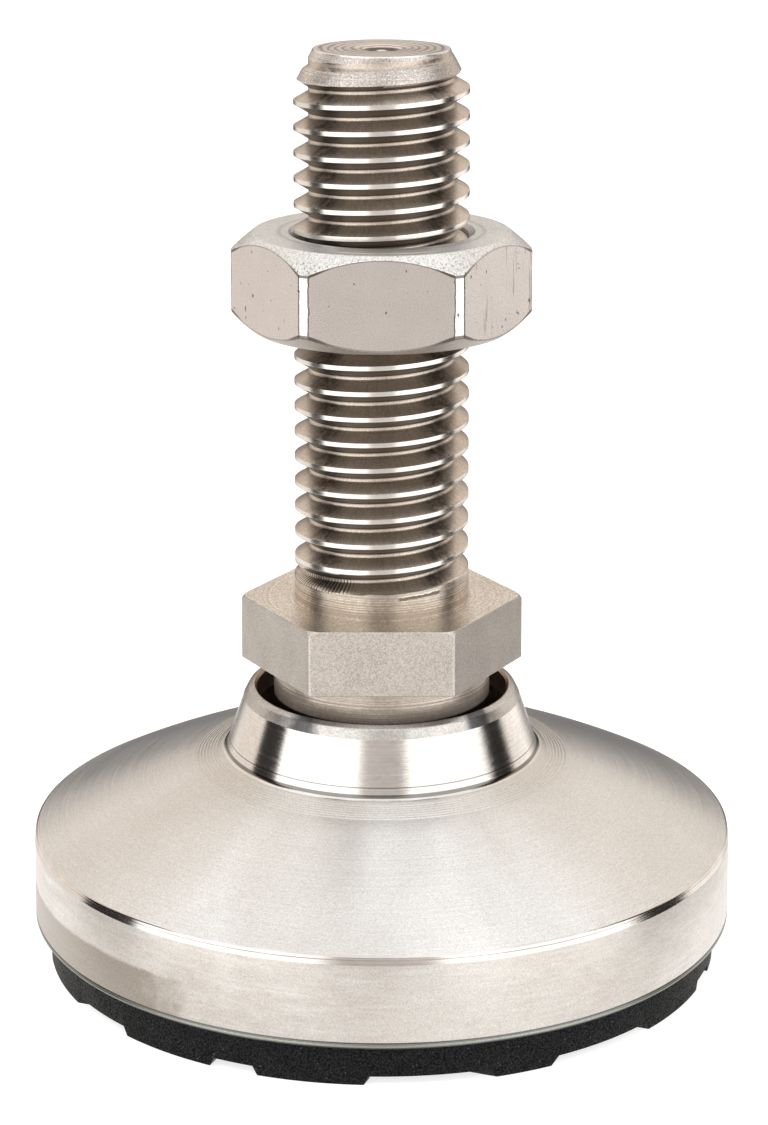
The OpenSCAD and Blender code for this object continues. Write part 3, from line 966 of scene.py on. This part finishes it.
def make_world():
    """Soft white surroundings with two dark cards, seen only in the metal. The camera sees plain white."""
    world = bpy.data.worlds.new("studio")
    bpy.context.scene.world = world
    world.use_nodes = True
    g = Graph(world.node_tree)
    where = add(g.tree, "TexCoord").outputs["Generated"]
    x, y, z = add(g.tree, "SeparateXYZ", {0: where}).outputs
    azimuth = g.scale(g.calc("ARCTAN2", x, g.scale(y, -1.0)), 180 / math.pi)
    rise = g.scale(g.calc("ARCSINE", z), 180 / math.pi)
    away = g.calc("ABSOLUTE", azimuth)

    colour = g.mix(g.ramp(rise, -25, 5), (1.12, 1.08, 1.04), (1.10, 1.00, 0.90))
    colour = g.mix(g.ramp(rise, 40, 62), colour, (1.28, 1.28, 1.28))
    low_right = g.scale(g.between(azimuth, 105, 142, 3), g.between(rise, -22, -16, 1.5))
    colour = g.mix(low_right, colour, (0.30, 0.26, 0.23))
    right_flat = g.scale(g.between(azimuth, 105, 140, 4), g.between(rise, -14, 0, 2))
    colour = g.mix(right_flat, colour, (1.42, 1.36, 1.30))
    sides = g.scale(g.ramp(away, 105, 125), g.ramp(rise, -19, -23))
    colour = g.mix(sides, colour, (1.45, 1.43, 1.40))
    # a dim stretch behind the object, just above the floor
    dim = g.scale(g.ramp(away, 138, 164), g.between(rise, -15, 10.5, 4))
    colour = g.mix(dim, colour, (0.03, 0.035, 0.045))
    # the gap between the panels, round the camera
    gap = g.scale(g.between(azimuth, -17, 19, 3), g.ramp(rise, 35, 55, 1.0, 0.0))
    gap = g.scale(gap, g.ramp(rise, -25, -19))
    colour = g.mix(gap, colour, g.mix(g.ramp(rise, -5, 10), (0.80, 0.75, 0.72), (0.66, 0.61, 0.58)))
    left = g.between(azimuth, -83, -17, 2)
    right = g.between(azimuth, 19, 86, 2)
    panels = g.scale(g.calc("ADD", left, right), g.between(rise, -22, 55, 3))
    colour = g.mix(panels, colour, (1.8, 1.79, 1.76))
    cards = g.calc("ADD", g.between(azimuth, -107, -83, 1.5), g.between(azimuth, 87, 111, 1.5))
    cards = g.scale(cards, g.between(rise, -20.5, 48, 1))
    colour = g.mix(cards, colour, (0.034, 0.031, 0.029))

    seen = add(g.tree, "Background", {0: (1, 1, 1, 1), 1: 1.0})
    lit = add(g.tree, "Background", {0: colour, 1: 1.0})
    path = add(g.tree, "LightPath").outputs["Is Camera Ray"]
    both = add(g.tree, "MixShader", {0: path, 1: lit.outputs[0], 2: seen.outputs[0]})
    add(g.tree, "OutputWorld", {0: both.outputs[0]})


def make_floor():
    made, g = material("floor_white")
    place = Place(g)
    grain = g.noise(place.vector, 0.02, 2.0, 0.5)
    colour = g.mix(grain, (0.38, 0.38, 0.38), (0.42, 0.42, 0.42))
    inputs = {
        "Base Color": colour,
        "Roughness": 0.9,
        "Emission Color": (1, 1, 1, 1),
        "Emission Strength": 0.72,
    }
    surface(g, inputs)
    solid = Solid(even_columns(96))
    solid.grid(np.array([[4000.0] * 96, [0.0] * 96]), np.zeros((2, 96)), [0])
    floor = solid.build("floor", [made])
    floor.visible_glossy = False


def make_lights():
    """Large soft lamps, above left and above right of the camera, and a low one under it."""
    for name, place, power, size in (
        ("key", (-0.55, -0.50, 0.75), 3.5, 0.5),
        ("fill", (0.60, -0.35, 0.60), 2.0, 0.5),
        ("front", (0.0, -0.80, 0.16), 4.0, 0.4),
    ):
        lamp = bpy.data.lights.new(name, "AREA")
        lamp.energy = power
        lamp.size = size
        lamp.color = (1.0, 0.985, 0.96)
        rig = bpy.data.objects.new(name, lamp)
        rig.location = place
        aim = -rig.location.copy()
        rig.rotation_euler = aim.to_track_quat("-Z", "Y").to_euler()
        rig.visible_glossy = False
        rig.visible_camera = False
        bpy.context.scene.collection.objects.link(rig)


def make_camera():
    """A long lens from the front, nearly level, with the frame shifted down to the object."""
    across, distance, height, tilt = 0.21, 277.3, 119.58, 8.641
    focal_px, shift_px = 3153.1, -452.75
    frame_px, sensor = 1125, 36.0
    lens = bpy.data.cameras.new("camera")
    lens.sensor_width = sensor
    lens.lens = focal_px / frame_px * sensor
    lens.clip_start = 0.01
    camera = bpy.data.objects.new("camera", lens)
    camera.location = (across * MM, -distance * MM, height * MM)
    camera.rotation_euler = (math.radians(90 - tilt), 0, 0)
    bpy.context.scene.collection.objects.link(camera)
    bpy.context.scene.camera = camera
    # The shift holds at this station only, so that the camera looks straight ahead from any other.
    drive = lens.driver_add("shift_y").driver
    station = drive.variables.new()
    station.name = "y"
    station.type = "TRANSFORMS"
    station.targets[0].id = camera
    station.targets[0].transform_type = "LOC_Y"
    drive.expression = f"{shift_px / frame_px:.5f} if abs(y + {distance * MM:.5f}) < 0.0001 else 0.0"
    bpy.context.scene.view_settings.view_transform = "Standard"


make_base()
make_pad()
make_stud()
make_nut()
finish_ring()
make_world()
make_floor()
make_lights()
make_camera()
